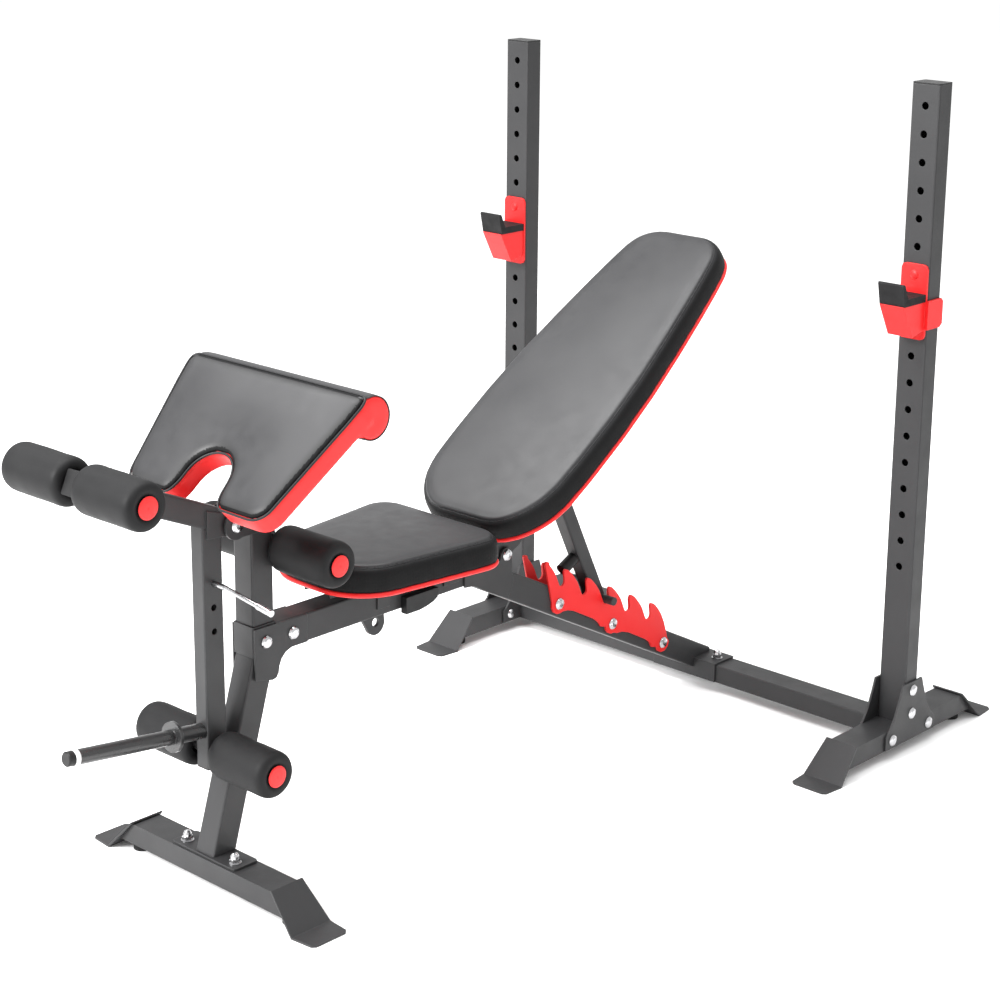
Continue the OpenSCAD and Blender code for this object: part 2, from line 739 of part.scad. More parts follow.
// ---------------------------------------------------------------- leg lever
lever_w = 30;
lever_d = 40;
tube_y = -627.5;
lever_bot = 214;
arm_slope = 23.5;
front_y = -863;
front_z = 737;
foot_y = tube_y + 1;
foot_z = 239.5;
pin_z = 526.5;
horn_tilt = 7.4;
horn_z = 276.5;
face_y = tube_y - lever_d / 2;
module on_arm() {
  translate([0, front_y, front_z]) rotate([-arm_slope, 0, 0]) children();
}
arm_len = norm([lever_y - front_y, front_z - lever_z]);
module lever_frame() {
  color(steel) difference() {
    union() {
      difference() {
        on_arm() translate([0, -19, 0]) rotate([-90, 0, 0]) tube(lever_w, lever_d, arm_len);
        translate([-50, tube_y + lever_d / 2, 400]) cube([100, 200, 400]);
      }
      difference() {
        translate([0, tube_y, lever_bot]) tube(lever_w, lever_d, 460);
        on_arm() translate([-50, -100, 1 - lever_d / 2]) cube([100, 500, 300]);
      }
      both() xrod(17, 14, 19, lever_y, lever_z);
      both() yz(14, 5) polygon([
        [tube_y - 12, lever_z - 13], [lever_y, lever_z - 16.9], [lever_y, lever_z + 16.9],
        [tube_y - 12, lever_z + 33]]);
    }
    xrod(lever_r + bore_clear, -beam, beam, lever_y, lever_z);
    xrod(5 + bore_clear, -beam, beam, tube_y, pin_z);
    for (k = [1:2]) xrod(5.5, -beam, beam, tube_y, pin_z - k * 40.5);
    xrod(axle_d / 2 + 0.02, -beam, beam, front_y, front_z);
    xrod(axle_d / 2 + 0.02, -beam, beam, foot_y, foot_z);
  }
}
module lever_bolt() {
  x1 = post_w / 2 + clevis_t;
  color(zinc) {
    xrod(lever_r, -x1, x1, lever_y, lever_z);
    for (s = [0, 1]) mirror([s, 0, 0]) translate([x1, lever_y, lever_z]) dome(12, 6);
  }
}
roller_end = 158;
knee_end = 163;
module axle(y, z, end) {
  difference() {
    xrod(axle_d / 2, -end, end, y, z);
    xrod(axle_d / 2 - 2, -end - 1, end + 1, y, z);
  }
}
module lever_axles() {
  color(steel) {
    axle(front_y, front_z, roller_end);
    axle(foot_y, foot_z, roller_end);
  }
}
module knee_axle() {
  color(steel) axle(knee_y, knee_z, knee_end);
}
// end discs: a shallow cap and a plug that sits inside the axle tube
module disc(y, z, end) {
  for (s = [0, 1]) mirror([s, 0, 0]) translate([end, y, z]) {
    dome(disc_d / 2, 3);
    rotate([0, -90, 0]) cylinder(r = axle_d / 2 - 2.1, h = 20, $fn = fine);
  }
}
module lever_discs() {
  color(red) {
    disc(front_y, front_z, roller_end);
    disc(foot_y, foot_z, roller_end);
  }
}
module knee_discs() {
  color(red) disc(knee_y, knee_z, knee_end);
}
module roller(s, x0, x1, y, z) {
  r = roller_d / 2;
  ri = axle_d / 2 + bore_clear;
  len = x1 - x0;
  color(black) translate([s < 0 ? -x1 : x0, y, z]) rotate([0, 90, 0]) rotate_extrude($fn = 40) polygon([
    [ri, 0], [r - 9, 0], [r - 4, 2], [r - 1, 6], [r, 11], [r, len - 11], [r - 1, len - 6],
    [r - 4, len - 2], [r - 9, len], [ri, len]]);
}
module roller_top_left() {
  roller(-1, 17, roller_end - near, front_y, front_z);
}
module roller_top_right() {
  roller(1, 17, roller_end - near, front_y, front_z);
}
module roller_knee_left() {
  roller(-1, 27, knee_end - near, knee_y, knee_z);
}
module roller_knee_right() {
  roller(1, 27, knee_end - near, knee_y, knee_z);
}
module roller_foot_left() {
  roller(-1, 26, roller_end - near, foot_y, foot_z);
}
module roller_foot_right() {
  roller(1, 26, roller_end - near, foot_y, foot_z);
}
module on_horn() {
  translate([0, face_y, horn_z]) rotate([90 - horn_tilt, 0, 0]) children();
}
flange_at = 57;
cap_len = 12;
module weight_horn() {
  color(steel) difference() {
    on_horn() {
      translate([0, 0, -10]) cylinder(r = horn_d / 2 + 0.6, h = flange_at + 10, $fn = fine);
      translate([0, 0, flange_at]) cylinder(r = horn_d / 2, h = horn_len - cap_len - flange_at, $fn = fine);
      translate([0, 0, flange_at]) cylinder(r = horn_d, h = 6, $fn = fine);
    }
    translate([-50, face_y, 200]) cube([100, 60, 200]);
  }
}
// closing caps: horn end, upper end of the arm and lower end of the down tube
module lever_caps() {
  color(black) {
    on_horn() translate([0, 0, horn_len - cap_len]) rotate_extrude($fn = fine) polygon([
      [0, 0], [horn_d / 2 - 0.4, 0], [horn_d / 2 - 0.4, cap_len - 2],
      [horn_d / 2 - 2.4, cap_len], [0, cap_len]]);
    on_arm() translate([0, -19, 0]) rotate([90, 0, 0]) linear_extrude(3) rrect(lever_w, lever_d, corner_r);
    translate([0, tube_y, lever_bot - 3]) linear_extrude(3) rrect(lever_w, lever_d, corner_r);
  }
}
module lever_pin() {
  color(zinc) {
    xrod(5, -lever_w / 2 - 4, lever_w / 2 + 30, tube_y, pin_z);
    translate([lever_w / 2 + 30, tube_y, pin_z]) rotate([0, 98, 0]) {
      cylinder(r = 4, h = 78, $fn = 24);
      translate([0, 0, 78]) cylinder(r = 5.5, h = 32, $fn = 24);
    }
  }
}

// ---------------------------------------------------------------- bar hooks
hook_face = rack_y - upright_d / 2 - near;
hook_t = 4;
hook_w = 55;
module hook_bracket() {
  y1 = hook_face;
  y0 = hook_face - hook_t;
  z0 = hook_z - 117;
  z1 = hook_z + 20;
  // back plate with rounded corners
  translate([0, y1, 0]) rotate([90, 0, 0]) linear_extrude(hook_t)
    translate([0, (z0 + z1) / 2]) rrect(hook_w, z1 - z0, 9);
  // side wing that laps round the outside of the upright
  translate([hook_w / 2 - 6, y0, hook_z - 97]) cube([10.8, hook_t, 53]);
  yz(upright_w / 2 + near, 4) polygon([
    [y0, hook_z - 97], [y0 + 40, hook_z - 97], [y0 + 48, hook_z - 91], [y0 + 48, hook_z - 50],
    [y0 + 42, hook_z - 44], [y0, hook_z - 44]]);
  // folded box under the cradle
  difference() {
    yz(-25.5, 51) polygon([
      [y0, hook_z - 46], [y0 - 68, hook_z - 46], [y0 - 36, hook_z - 106], [y0, hook_z - 98]]);
    yz(-22.5, 45) polygon([
      [y0 - 1, hook_z - 49], [y0 - 62, hook_z - 49], [y0 - 31, hook_z - 110], [y0 - 1, hook_z - 110]]);
  }
  // locating peg and its weld bead
  yrod(hole_d / 2 - 0.5, y1, y1 + 26, 0, hook_z);
  translate([0, y0, hook_z]) rotate([0, 0, -90]) dome(8, 3.5);
}
module hook_liner() {
  y0 = hook_face - hook_t - 0.05;
  yz(-26.5, 53) polygon([
    [y0, hook_z - 46], [y0 - 66, hook_z - 46], [y0 - 74, hook_z - 8], [y0 - 73, hook_z - 5],
    [y0 - 69, hook_z - 5], [y0 - 67, hook_z - 7], [y0 - 56, hook_z - 32.5], [y0, hook_z - 32.5]]);
}
module hook_bracket_left() {
  color(red) translate([-up_x, 0, 0]) mirror([1, 0, 0]) hook_bracket();
}
module hook_bracket_right() {
  color(red) translate([up_x, 0, 0]) hook_bracket();
}
module hook_liner_left() {
  color(black) translate([-up_x, 0, 0]) hook_liner();
}
module hook_liner_right() {
  color(black) translate([up_x, 0, 0]) hook_liner();
}

crossbar();
foot_tube_left();
foot_tube_right();
front_foot_tube();
foot_plates();
floor_pads();
upright_left();
upright_right();
upright_caps();
gussets();
rack_bolts();
main_beam();
base_plates();
base_nuts();
bend_plates();
ladder_plates();
beam_bolts();
seat_beam();
front_plates();
front_post();
socket();
band_eye();
seat_rest();
seat_guide();
hook_bracket_left();
hook_bracket_right();
hook_liner_left();
hook_liner_right();
seat_frame();
seat_board();
seat_cushion();
hinge_pins();
back_spine();
back_arms();
back_bars();
back_board();
back_cushion();
strut();
strut_bar();
strut_grip();
strut_pin();
leg_post();
lever_bolt();
knee_axle();
knee_discs();
curl_stem();
curl_board();
curl_cushion();
lever_frame();
lever_pin();
lever_axles();
lever_discs();
weight_horn();
lever_caps();
roller_top_left();
roller_top_right();
roller_knee_left();
roller_knee_right();
roller_foot_left();
roller_foot_right();
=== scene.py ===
import bpy
import bmesh
import numpy as np
import math
from mathutils import Matrix, Vector, noise
from mathutils.bvhtree import BVHTree
from mathutils.kdtree import KDTree


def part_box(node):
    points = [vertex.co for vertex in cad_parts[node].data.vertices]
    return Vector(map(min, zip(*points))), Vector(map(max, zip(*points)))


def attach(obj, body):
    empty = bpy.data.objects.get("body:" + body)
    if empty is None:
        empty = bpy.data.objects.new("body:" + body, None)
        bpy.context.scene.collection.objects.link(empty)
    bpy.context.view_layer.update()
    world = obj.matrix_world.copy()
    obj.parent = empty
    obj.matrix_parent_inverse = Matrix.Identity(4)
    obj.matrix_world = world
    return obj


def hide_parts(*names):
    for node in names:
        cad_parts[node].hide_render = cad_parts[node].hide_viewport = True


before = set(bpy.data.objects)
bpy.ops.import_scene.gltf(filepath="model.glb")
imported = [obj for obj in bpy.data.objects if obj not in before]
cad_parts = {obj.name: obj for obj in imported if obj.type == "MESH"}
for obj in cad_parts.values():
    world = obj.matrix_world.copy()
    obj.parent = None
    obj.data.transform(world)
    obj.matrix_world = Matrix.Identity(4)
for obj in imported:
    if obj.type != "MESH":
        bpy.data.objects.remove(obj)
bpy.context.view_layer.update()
scene = bpy.context.scene
X = Vector((1, 0, 0))

# the camera: degrees, millimetres of lens, metres
VIEW_AZIMUTH, VIEW_ELEVATION, VIEW_ROLL = 43.726, 15.450, 0.244
LENS = 82.047
SHIFT = 0.03, -0.08
CAMERA_AT = Vector((2.66589, -2.81218, 1.73997))

# pads, in metres
COVER_LAP = 0.0015      # before it swells, a cover's face lies this far under its soft solid's top
WELT_R = 0.0011         # radius of the welt round a cushion's shoulder
SEAM_DEPTH = 0.012      # a seam is aimed this far under the cushion's top
CURL_CORE_T = 0.038     # thickness of the curl pad's red core
ROLL_R = 0.036          # radius of the roll behind the curl pad's upper edge
ROLL_DROP = 0.037       # the roll's axis lies this far behind the pad's base plane
WRAP_T = 0.0009         # thickness of the skin over the roll


# ------------------------------------------------------------------ camera, light, floor
def camera():
    az, el, roll = (math.radians(v) for v in (VIEW_AZIMUTH, VIEW_ELEVATION, VIEW_ROLL))
    back = Vector((math.sin(az) * math.cos(el), -math.cos(az) * math.cos(el), math.sin(el)))
    right = Vector((math.cos(az), math.sin(az), 0))
    up = back.cross(right)
    right, up = (math.cos(roll) * right + math.sin(roll) * up,
                 -math.sin(roll) * right + math.cos(roll) * up)
    data = bpy.data.cameras.new("camera")
    data.sensor_width = 36
    data.lens = LENS
    data.shift_x, data.shift_y = SHIFT
    data.clip_start, data.clip_end = 0.05, 200
    obj = bpy.data.objects.new("camera", data)
    scene.collection.objects.link(obj)
    m = Matrix((right, up, back)).transposed().to_4x4()
    m.translation = CAMERA_AT
    obj.matrix_world = m
    scene.camera = obj


def area_light(name, place, aim, size, power):
    """A square white light at a place, turned towards its aim."""
    data = bpy.data.lights.new(name, "AREA")
    data.shape = "RECTANGLE"
    data.size = data.size_y = size
    data.energy = power
    obj = bpy.data.objects.new(name, data)
    scene.collection.objects.link(obj)
    obj.location = place
    obj.rotation_mode = "QUATERNION"
    obj.rotation_quaternion = (Vector(aim) - Vector(place)).to_track_quat("-Z", "Y")


def studio():
    """A bright white surround, three soft lights and a pale floor."""
    scene.view_settings.view_transform = "Standard"
    world = bpy.data.worlds.new("studio")
    scene.world = world
    world.use_nodes = True
    world.node_tree.nodes["Background"].inputs["Color"].default_value = (1, 1, 1, 1)
    world.node_tree.nodes["Background"].inputs["Strength"].default_value = 1.04
    area_light("key", (-1.3, -5.0, 3.4), (0, -0.2, 0.5), 2.2, 560)
    area_light("side", (-1.9, -0.9, 4.7), (0, 0, 0.6), 2.8, 185)
    area_light("top", (0.4, 0.2, 4.6), (0, -0.2, 0.4), 3.0, 130)
    mesh = bpy.data.meshes.new("floor")
    half = 40
    corners = [(-half, -half, 0), (half, -half, 0), (half, half, 0), (-half, half, 0)]
    mesh.from_pydata(corners, [], [(0, 1, 2, 3)])
    floor = bpy.data.objects.new("floor", mesh)
    floor.location.z = -0.0004
    scene.collection.objects.link(floor)
    mat = bpy.data.materials.new("floor_white")
    mat.use_nodes = True
    p = mat.node_tree.nodes["Principled BSDF"]
    p.inputs["Base Color"].default_value = (0.96, 0.96, 0.96, 1)
    p.inputs["Roughness"].default_value = 0.9
    p.inputs["Specular IOR Level"].default_value = 0.0
    mesh.materials.append(mat)


# ------------------------------------------------------------------ materials
class Nodes:
    """A material under construction: short calls for the few node types used here."""

    def __init__(self, name):
        self.mat = bpy.data.materials.new(name)
        self.mat.use_nodes = True
        self.tree = self.mat.node_tree
        self.bsdf = self.tree.nodes["Principled BSDF"]
        self.coord = self.tree.nodes.new("ShaderNodeTexCoord").outputs["Object"]

    def link(self, a, b):
        self.tree.links.new(a, b)

    def set(self, **values):
        for key, value in values.items():
            self.bsdf.inputs[key.replace("_", " ")].default_value = value

    def scaled(self, scale):
        n = self.tree.nodes.new("ShaderNodeMapping")
        n.inputs["Scale"].default_value = scale
        self.link(self.coord, n.inputs["Vector"])
        return n.outputs["Vector"]

    def noise(self, scale, detail=3, rough=0.5, vector=None):
        n = self.tree.nodes.new("ShaderNodeTexNoise")
        n.inputs["Scale"].default_value = scale
        n.inputs["Detail"].default_value = detail
        n.inputs["Roughness"].default_value = rough
        self.link(vector or self.coord, n.inputs["Vector"])
        return n.outputs["Fac"]

    def voronoi(self, scale, feature="DISTANCE_TO_EDGE"):
        n = self.tree.nodes.new("ShaderNodeTexVoronoi")
        n.feature = feature
        n.inputs["Scale"].default_value = scale
        self.link(self.coord, n.inputs["Vector"])
        return n.outputs["Distance"]

    def wave(self, scale, direction, vector):
        n = self.tree.nodes.new("ShaderNodeTexWave")
        n.wave_type = "BANDS"
        n.bands_direction = direction
        n.inputs["Scale"].default_value = scale
        self.link(vector, n.inputs["Vector"])
        return n.outputs["Fac"]

    def ramp(self, fac, stops):
        n = self.tree.nodes.new("ShaderNodeValToRGB")
        r = n.color_ramp
        while len(r.elements) < len(stops):
            r.elements.new(0.5)
        for e, (pos, col) in zip(r.elements, stops):
            e.position = pos
            e.color = (*col, 1)
        self.link(fac, n.inputs["Fac"])
        return n.outputs["Color"]

    def math(self, op, a, b=0.5, clamp=False):
        n = self.tree.nodes.new("ShaderNodeMath")
        n.operation = op
        n.use_clamp = clamp
        for sock, v in zip(n.inputs, (a, b)):
            if isinstance(v, (int, float)):
                sock.default_value = v
            else:
                self.link(v, sock)
        return n.outputs["Value"]

    def mix(self, fac, a, b):
        n = self.tree.nodes.new("ShaderNodeMix")
        n.data_type = "RGBA"
        for sock, v in zip((n.inputs["Factor"], n.inputs[6], n.inputs[7]), (fac, a, b)):
            if isinstance(v, (int, float)):
                sock.default_value = v
            elif hasattr(v, "__len__"):
                sock.default_value = (*v, 1)
            else:
                self.link(v, sock)
        return n.outputs[2]

    def map_range(self, v, lo, hi, to_lo, to_hi):
        n = self.tree.nodes.new("ShaderNodeMapRange")
        self.link(v, n.inputs["Value"])
        for key, val in (("From Min", lo), ("From Max", hi), ("To Min", to_lo), ("To Max", to_hi)):
            n.inputs[key].default_value = val
        return n.outputs["Result"]

    def bump(self, height, strength, distance, normal=None):
        n = self.tree.nodes.new("ShaderNodeBump")
        n.inputs["Strength"].default_value = strength
        n.inputs["Distance"].default_value = distance
        self.link(height, n.inputs["Height"])
        if normal is not None:
            self.link(normal, n.inputs["Normal"])
        return n.outputs["Normal"]

    def edges(self, radius, lo, hi):
        """0 on flat ground, 1 on edges sharper than the radius."""
        bevel = self.tree.nodes.new("ShaderNodeBevel")
        bevel.samples = 4
        bevel.inputs["Radius"].default_value = radius
        geo = self.tree.nodes.new("ShaderNodeNewGeometry")
        dot = self.tree.nodes.new("ShaderNodeVectorMath")
        dot.operation = "DOT_PRODUCT"
        self.link(bevel.outputs["Normal"], dot.inputs[0])
        self.link(geo.outputs["Normal"], dot.inputs[1])
        return self.map_range(dot.outputs["Value"], hi, lo, 0, 1), bevel.outputs["Normal"]

    def finish(self, color=None, rough=None, normal=None):
        for sock, key in ((color, "Base Color"), (rough, "Roughness"), (normal, "Normal")):
            if sock is not None:
                self.link(sock, self.bsdf.inputs[key])
        return self.mat


def powder_coat(name, dark, light, wear_and_highlight, rough, grain, spec, coat=0.0):
    """Painted steel: cloudy tone, orange-peel grain, and every edge lightened towards the wear_and_highlight
    colour: a painted highlight line along all edges, stronger where chips of real wear fall.
    """
    m = Nodes(name)
    m.set(Specular_IOR_Level=spec, Coat_Weight=coat, Coat_Roughness=0.25)
    cloud = m.noise(5.0, 4)
    base = m.ramp(cloud, [(0.3, dark), (0.7, light)])
    edge, soft = m.edges(0.0016, 0.80, 0.985)
    chip = m.math("GREATER_THAN", m.noise(160, 3), 0.60)
    # painted highlight along every edge, plus real wear where the chip noise is high
    wear_and_highlight_mask = m.math("MULTIPLY", edge, m.math("MULTIPLY_ADD", chip, 0.55), True)
    col = m.mix(m.math("MULTIPLY", wear_and_highlight_mask, 0.55), base, wear_and_highlight)
    r = m.map_range(m.noise(24, 3), 0.3, 0.7, rough - 0.05, rough + 0.06)
    peel = m.math("ADD", m.noise(grain, 2), m.math("MULTIPLY", m.noise(grain * 0.22, 2), 0.8))
    return m.finish(col, r, m.bump(peel, 0.16, 0.0006, soft))


def plated(name):
    """Bright zinc plating with fine scratches."""
    m = Nodes(name)
    m.set(Metallic=1.0)
    col = m.ramp(m.noise(60, 3), [(0.3, (0.42, 0.42, 0.43)), (0.7, (0.60, 0.60, 0.61))])
    scratch = m.noise(1.0, 4, 0.6, m.scaled((900, 120, 900)))
    r = m.map_range(scratch, 0.3, 0.8, 0.14, 0.32)
    return m.finish(col, r, m.bump(scratch, 0.06, 0.0002))


def moulded(name, tone, rough):
    """Moulded plastic, a little paler along its edges."""
    m = Nodes(name)
    m.set(Specular_IOR_Level=0.30)
    col = m.ramp(m.noise(18, 4), [(0.3, [c * 0.82 for c in tone]), (0.7, tone)])
    r = m.map_range(m.noise(60, 3), 0.3, 0.7, rough - 0.06, rough + 0.06)
    edge, soft = m.edges(0.0012, 0.80, 0.985)
    col = m.mix(m.math("MULTIPLY", edge, 0.25), col, [min(1, c * 2.6 + 0.01) for c in tone])
    return m.finish(col, r, m.bump(m.noise(1500, 2), 0.12, 0.0003, soft))


def rubber(name, tone):
    """Dull rubber or cloth with a rough grain."""
    m = Nodes(name)
    m.set(Specular_IOR_Level=0.20)
    col = m.ramp(m.noise(30, 4), [(0.3, [c * 0.75 for c in tone]), (0.7, [c * 1.2 for c in tone])])
    r = m.map_range(m.noise(80, 3), 0.3, 0.7, 0.6, 0.78)
    return m.finish(col, r, m.bump(m.noise(700, 3), 0.2, 0.0005))


def foam(name):
    """Closed-cell foam with fine pores."""
    m = Nodes(name)
    m.set(Specular_IOR_Level=0.16)
    pores = m.voronoi(900, "F1")
    cloud = m.noise(22, 4)
    col = m.ramp(cloud, [(0.3, (0.008, 0.008, 0.0085)), (0.7, (0.013, 0.013, 0.0135))])
    r = m.map_range(cloud, 0.3, 0.7, 0.52, 0.66)
    h = m.math("ADD", m.math("MULTIPLY", pores, 0.7), m.noise(240, 3))
    return m.finish(col, r, m.bump(h, 0.22, 0.0005))


def vinyl(name, dark, light, rough, weave, spec):
    """Coated fabric: a fine leather grain, with a woven look where weave is above 0.

    Where a mesh has the shaded_rim attribute, the tone darkens towards its outline: painted shade on a
    cushion's rounded edge and side wall, which also grow rougher there.
    """
    m = Nodes(name)
    m.set(Specular_IOR_Level=spec)
    cloud = m.noise(9, 4)
    shaded_rim = m.tree.nodes.new("ShaderNodeAttribute")
    shaded_rim.attribute_name = "shaded_rim"
    col = m.ramp(cloud, [(0.3, dark), (0.7, light)])
    # painted shade: the tone is darkened towards the outline by the shaded_rim attribute
    col = m.mix(shaded_rim.outputs["Fac"], col, [c * 0.25 for c in dark])
    cells = m.voronoi(620)
    grain = m.math("MINIMUM", cells, 0.12)
    fine = m.noise(1400, 2)
    h = m.math("ADD", m.math("MULTIPLY", grain, 4.0), m.math("MULTIPLY", fine, 0.25))
    r = m.map_range(m.noise(36, 4), 0.3, 0.7, rough - 0.05, rough + 0.05)
    r = m.math("ADD", r, m.math("MULTIPLY", shaded_rim.outputs["Fac"], 0.12))
    normal = m.bump(h, 0.10, 0.0003)
    if weave:
        turned = m.tree.nodes.new("ShaderNodeMapping")
        turned.inputs["Rotation"].default_value = (0.6, 0.9, math.radians(45))
        m.link(m.coord, turned.inputs["Vector"])
        threads = 62
        warp = m.wave(threads, "X", turned.outputs["Vector"])
        weft = m.wave(threads, "Y", turned.outputs["Vector"])
        normal = m.bump(m.math("MAXIMUM", warp, weft), weave, 0.0004, normal)
    return m.finish(col, r, normal)


def grey(tone, cool=0.0005):
    """A nearly neutral tone, a touch bluer by the given amount."""
    return tone, tone, tone + cool


def red(strength, rest):
    return strength, rest, rest


def build_materials():
    return {
        "frame_steel": powder_coat("powder_grey", grey(0.022, 0.001), grey(0.028, 0.001),
                                   grey(0.14, 0.005), 0.46, 1100, 0.31),
        "horn_steel": powder_coat("horn_paint", grey(0.014), grey(0.018), grey(0.10, 0.005),
                                  0.27, 1500, 0.55, 0.2),
        "red_steel": powder_coat("powder_red", (0.66, 0.012, 0.013), red(0.74, 0.018),
                                 (0.90, 0.12, 0.11), 0.38, 900, 0.24, 0.04),
        "zinc": plated("bright_zinc"),
        "black_rubber": rubber("black_rubber", grey(0.009)),
        "black_plastic": moulded("black_plastic", grey(0.008), 0.42),
        "black_vinyl": vinyl("black_vinyl", grey(0.016, 0.0015), grey(0.023, 0.0015), 0.40, 0.0, 0.43),
        # painted shade: a darker copy of the black vinyl for side walls and edges, where shade falls; its
        # weave is real
        "shaded_side": vinyl("shaded_side_vinyl", grey(0.010, 0.001), grey(0.015, 0.001), 0.5, 0.3, 0.16),
        "black_weave": vinyl("black_weave_vinyl", grey(0.008, 0.001), grey(0.012, 0.001), 0.45, 0.5, 0.3),
        "red_vinyl": vinyl("red_vinyl", (0.70, 0.014, 0.015), (0.79, 0.024, 0.023), 0.44, 0.0, 0.3),
        "black_foam": foam("black_foam"),
        "white_ring": moulded("white_ring", (0.8, 0.8, 0.8), 0.4),
        "red_plastic": moulded("red_plastic", red(0.75, 0.022), 0.38),
        "backing": rubber("backing_cloth", grey(0.02, 0.001)),
    }


# ------------------------------------------------------------------ mesh helpers
def new_object(name, bm, material, matrix=None):
    """A smooth-shaded object from a bmesh, in the frame that the matrix gives."""
    bmesh.ops.recalc_face_normals(bm, faces=bm.faces)
    mesh = bpy.data.meshes.new(name)
    bm.to_mesh(mesh)
    bm.free()
    if matrix is not None:
        mesh.transform(matrix)
    mesh.polygons.foreach_set("use_smooth", [True] * len(mesh.polygons))
    mesh.materials.append(material)
    obj = bpy.data.objects.new(name, mesh)
    scene.collection.objects.link(obj)
    return obj


def settle(obj, body, instead_of=()):
    """Gives a finished piece its body and what it stands for."""
    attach(obj, body)
    if instead_of:
        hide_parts(*instead_of)


class Pad:
    """A pad's own frame: x across, y along it, z out of its base plane, and its outline on that plane."""

    def __init__(self, node, toward):
        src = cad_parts[node]
        bm = bmesh.new()
        bm.from_mesh(src.data)
        bmesh.ops.remove_doubles(bm, verts=bm.verts, dist=2e-5)
        bmesh.ops.dissolve_limit(bm, angle_limit=math.radians(0.4), verts=bm.verts, edges=bm.edges)
        bm.normal_update()
        toward = Vector(toward).normalized()
        face = max((f for f in bm.faces if f.normal.dot(toward) > 0.97), key=lambda f: f.calc_area())
        pts, n = [l.vert.co.copy() for l in face.loops], face.normal.copy()
        bm.free()
        s = n.cross(X).normalized()
        low = min(pts, key=lambda p: p.dot(s))
        origin = Vector((0, low.y, low.z))
        self.matrix = Matrix((X, s, n)).transposed().to_4x4()
        self.matrix.translation = origin
        self.inverse = self.matrix.inverted()
        self.outline = [(self.inverse @ p).to_2d() for p in pts]

    def extent(self, node):
        """Lowest and highest place of a CAD node above this pad's base plane."""
        z = [(self.inverse @ v.co).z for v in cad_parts[node].data.vertices]
        return min(z), max(z)


def resample(loop, count, rounds):
    """A closed 2-D loop as evenly spaced points, softened a little."""
    n = len(loop)
    lens = [(loop[(i + 1) % n] - p).length for i, p in enumerate(loop)]
    total = sum(lens)
    out, i, run = [], 0, 0.0
    for k in range(count):
        t = total * k / count
        while run + lens[i] < t:
            run += lens[i]
            i += 1
        out.append(loop[i].lerp(loop[(i + 1) % n], (t - run) / lens[i]))
    for _ in range(rounds):
        out = [(out[k - 1] + out[k] * 2 + out[(k + 1) % count]) / 4 for k in range(count)]
    return out


def outward(loop):
    """Unit normals of a closed 2-D loop, pointing out of it."""
    n = len(loop)
    area = sum(loop[k - 1].x * loop[k].y - loop[k].x * loop[k - 1].y for k in range(n))
    sign = 1 if area > 0 else -1
    out = []
    for k in range(n):
        d = loop[(k + 1) % n] - loop[k - 1]
        out.append(Vector((d.y, -d.x)).normalized() * sign)
    return out


def ringed(loop, profile):
    """A closed solid through rings at (inset, height) of an outline."""
    bm = bmesh.new()
    normals = outward(loop)
    rings = []
    for inset, z in profile:
        rings.append([bm.verts.new((*(p - q * inset), z)) for p, q in zip(loop, normals)])
    count = len(loop)
    for a, b in zip(rings, rings[1:]):
        for k in range(count):
            j = (k + 1) % count
            bm.faces.new((a[k], a[j], b[j], b[k]))
    bm.faces.new(rings[0])
    bm.faces.new(rings[-1])
    return bm


def lathe(bm, profile, segments, closed=True):
    """Turns (x, r) points about the X axis; a closed profile gives a ring-shaped solid."""
    rings = []
    for x, r in profile:
        rings.append([bm.verts.new((x, r * math.cos(2 * math.pi * k / segments),
                                    r * math.sin(2 * math.pi * k / segments))) for k in range(segments)])
    pairs = list(zip(rings, rings[1:])) + ([(rings[-1], rings[0])] if closed else [])
    for a, b in pairs:
        for k in range(segments):
            j = (k + 1) % segments
            bm.faces.new((a[k], a[j], b[j], b[k]))
    return rings


def apply_all(obj):
    """Turns what an object's modifiers make into its mesh."""
    dg = bpy.context.evaluated_depsgraph_get()
    mesh = bpy.data.meshes.new_from_object(obj.evaluated_get(dg))
    old = obj.data
    obj.modifiers.clear()
    obj.data = mesh
    bpy.data.meshes.remove(old)


def voxelled(obj, size):
    """Remeshes an object evenly."""
    mod = obj.modifiers.new("remesh", "REMESH")
    mod.mode = "VOXEL"
    mod.voxel_size = size
    apply_all(obj)


def softened(obj, rounds):
    """Rounds a mesh off by averaging."""
    bm = bmesh.new()
    bm.from_mesh(obj.data)
    for _ in range(rounds):
        bmesh.ops.smooth_vert(bm, verts=bm.verts, factor=0.5, use_axis_x=True, use_axis_y=True,
                              use_axis_z=True)
    bm.to_mesh(obj.data)
    bm.free()


def subdivided(obj):
    """Rounds a mesh off by one level of subdivision."""
    sub = obj.modifiers.new("sub", "SUBSURF")
    sub.levels = sub.render_levels = 1
    apply_all(obj)


def shade_smooth(obj):
    obj.data.polygons.foreach_set("use_smooth", [True] * len(obj.data.polygons))


def even_out(mesh, field, rounds):
    """Averages a field over neighbouring vertices, which takes wrinkles out of a swelling."""
    ends = np.empty(len(mesh.edges) * 2, dtype=np.int64)
    mesh.edges.foreach_get("vertices", ends)
    a, b = ends[0::2], ends[1::2]
    count = np.bincount(ends, minlength=len(mesh.vertices)).astype(float)[:, None]
    for _ in range(rounds):
        total = np.zeros_like(field)
        np.add.at(total, a, field[b])
        np.add.at(total, b, field[a])
        field = 0.4 * field + 0.6 * total / count
    return field


